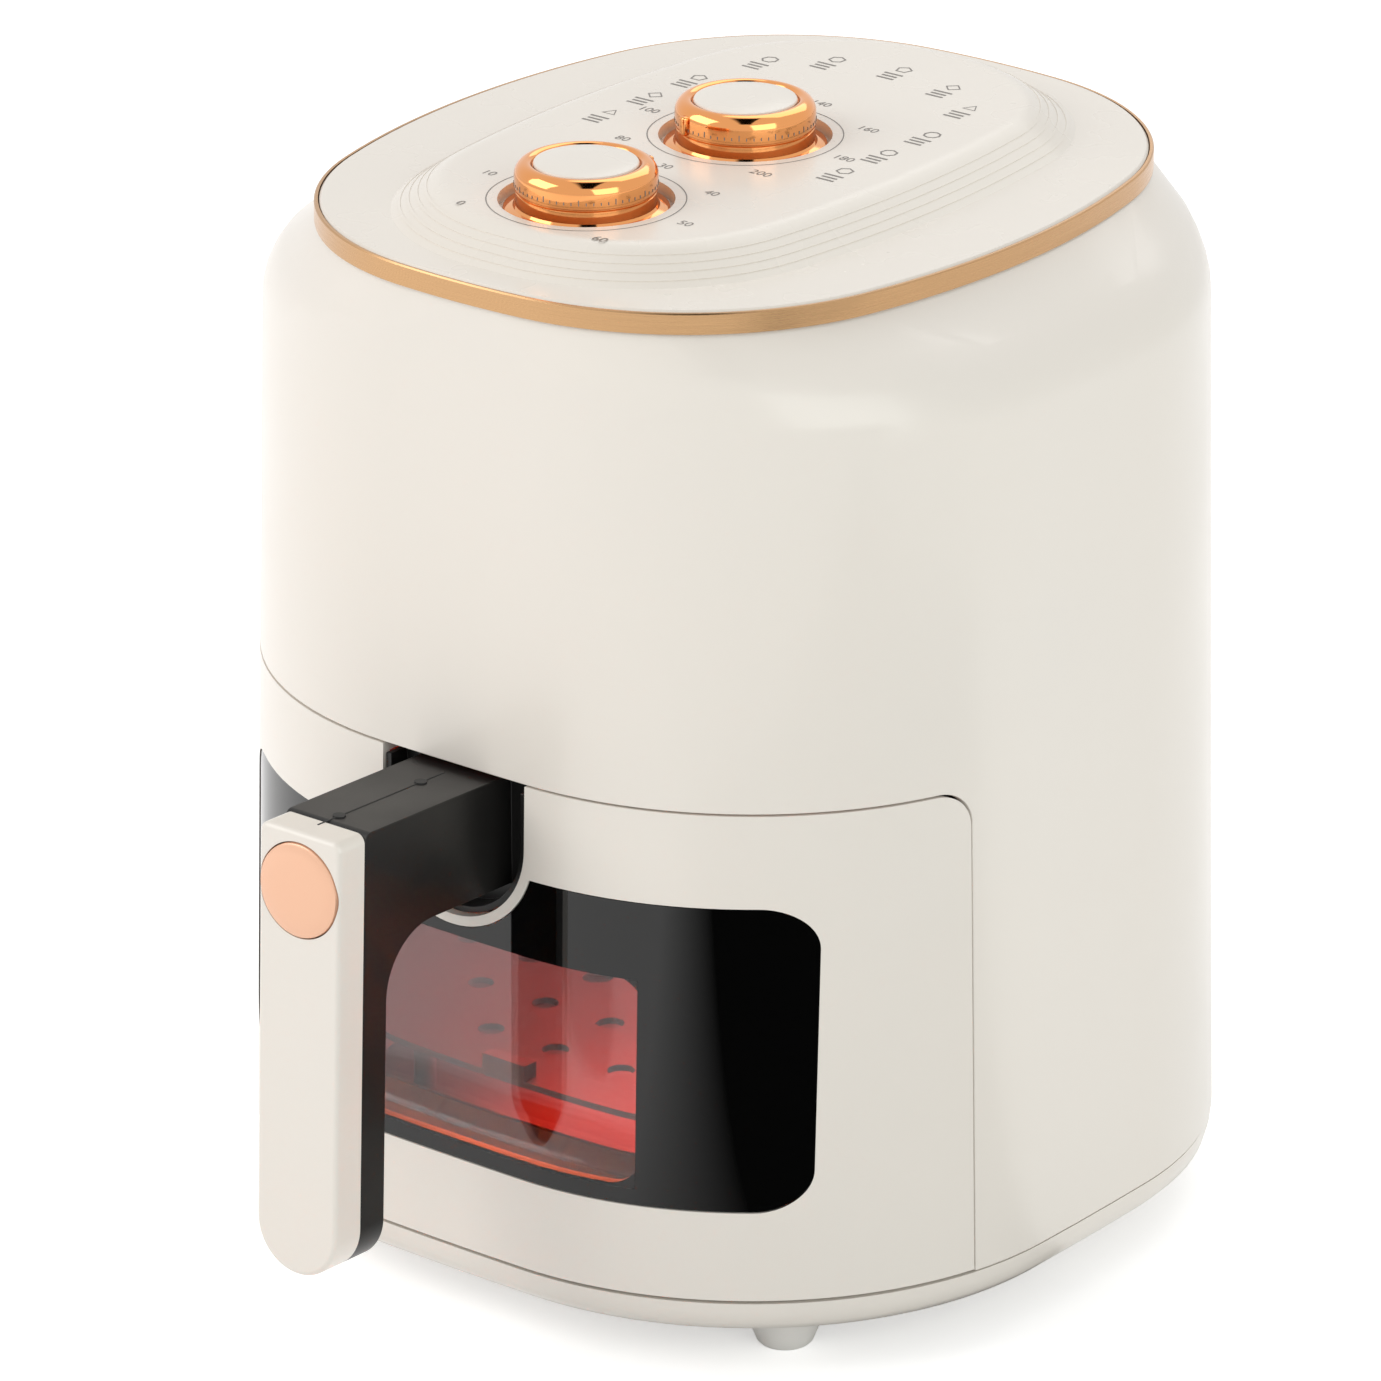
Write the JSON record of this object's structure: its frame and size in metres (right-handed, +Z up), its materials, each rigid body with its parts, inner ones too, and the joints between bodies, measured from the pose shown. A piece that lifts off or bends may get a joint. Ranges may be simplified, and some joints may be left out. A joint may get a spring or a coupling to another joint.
{
  "type": "air fryer",
  "caption": "Countertop hot-air fryer with a windowed slide-out drawer, a pan with a lift-out crisper plate, a grip handle with a push button, and turning control knobs on the lid.",
  "frame": {"origin": "centre of the overall box at the level of the feet", "axes": "+X to the right seen from the front, the handle faces -Y, +Z up"},
  "size_m": [0.272, 0.3416, 0.3433],
  "materials": {
    "cream_shell": "satin",
    "cream_panel": "gloss",
    "copper": "polished",
    "champagne": "satin",
    "peach_button": "satin",
    "black_plastic": "satin",
    "dark_glass": "gloss",
    "clear_glass": "gloss",
    "coated_steel": "satin",
    "bare_steel": "satin",
    "heater_metal": "matte",
    "cast_metal": "satin",
    "soft_pad": "matte",
    "dark_pad": "matte"
  },
  "bodies": {
    "housing": {"housing_shell": "cream_shell", "rear_vent_grille": "cream_shell", "cord_gland": "black_plastic", "panel_trim_band": "champagne", "top_panel": "cream_panel", "control_bracket": "bare_steel", "timer": "black_plastic", "thermostat": "bare_steel", "base_cover": "cream_shell", "feet": "soft_pad", "base_screws": "bare_steel", "inner_chamber": "bare_steel", "heater_dome": "bare_steel", "heating_element": "heater_metal", "element_clips": "bare_steel", "motor": "cast_metal", "motor_bridge": "bare_steel", "thermal_cutout": "bare_steel", "safety_switch": "black_plastic"},
    "rotor": {"fan_impeller": "cast_metal", "cooling_fan": "black_plastic", "motor_shaft": "bare_steel"},
    "timer_dial": {"front_knob": "copper", "front_knob_cap": "cream_panel", "front_knob_shaft": "bare_steel"},
    "temperature_dial": {"rear_knob": "copper", "rear_knob_cap": "cream_panel", "rear_knob_shaft": "bare_steel"},
    "drawer": {"drawer_front": "cream_shell", "window_glass": "dark_glass", "window_frame": "black_plastic", "handle_frame": "black_plastic", "handle_cover": "cream_shell", "handle_screws": "bare_steel", "pan": "coated_steel", "pan_window": "clear_glass", "button_spring": "bare_steel"},
    "button": {"release_button": "peach_button"},
    "crisper": {"crisper_plate": "coated_steel", "plate_bumpers": "dark_pad"}
  },
  "joints": [
    {"name": "drawer_slide", "type": "slide", "parent": "housing", "child": "drawer", "axis": [0, -1, 0], "range_m": [0, 0.2]},
    {"name": "timer_turn", "type": "hinge", "parent": "housing", "child": "timer_dial", "pos_m": [0, -0.03555, 0.33], "axis": [0, 0, -1], "range_deg": [0, 270]},
    {"name": "temperature_turn", "type": "hinge", "parent": "housing", "child": "temperature_dial", "pos_m": [0, 0.03845, 0.33], "axis": [0, 0, -1], "range_deg": [0, 270]},
    {"name": "fan_spin", "type": "hinge", "parent": "housing", "child": "rotor", "pos_m": [0, 0.02875, 0.25], "axis": [0, 0, 1], "continuous": true},
    {"name": "button_press", "type": "slide", "parent": "drawer", "child": "button", "axis": [0, 0.9993, -0.0384], "range_m": [0, 0.003], "stiffness_N_per_m": 400, "deforming": ["button_spring"]},
    {"name": "crisper_lift", "type": "slide", "parent": "drawer", "child": "crisper", "axis": [0, 0, 1], "range_m": [0, 0.09]}
  ]
}
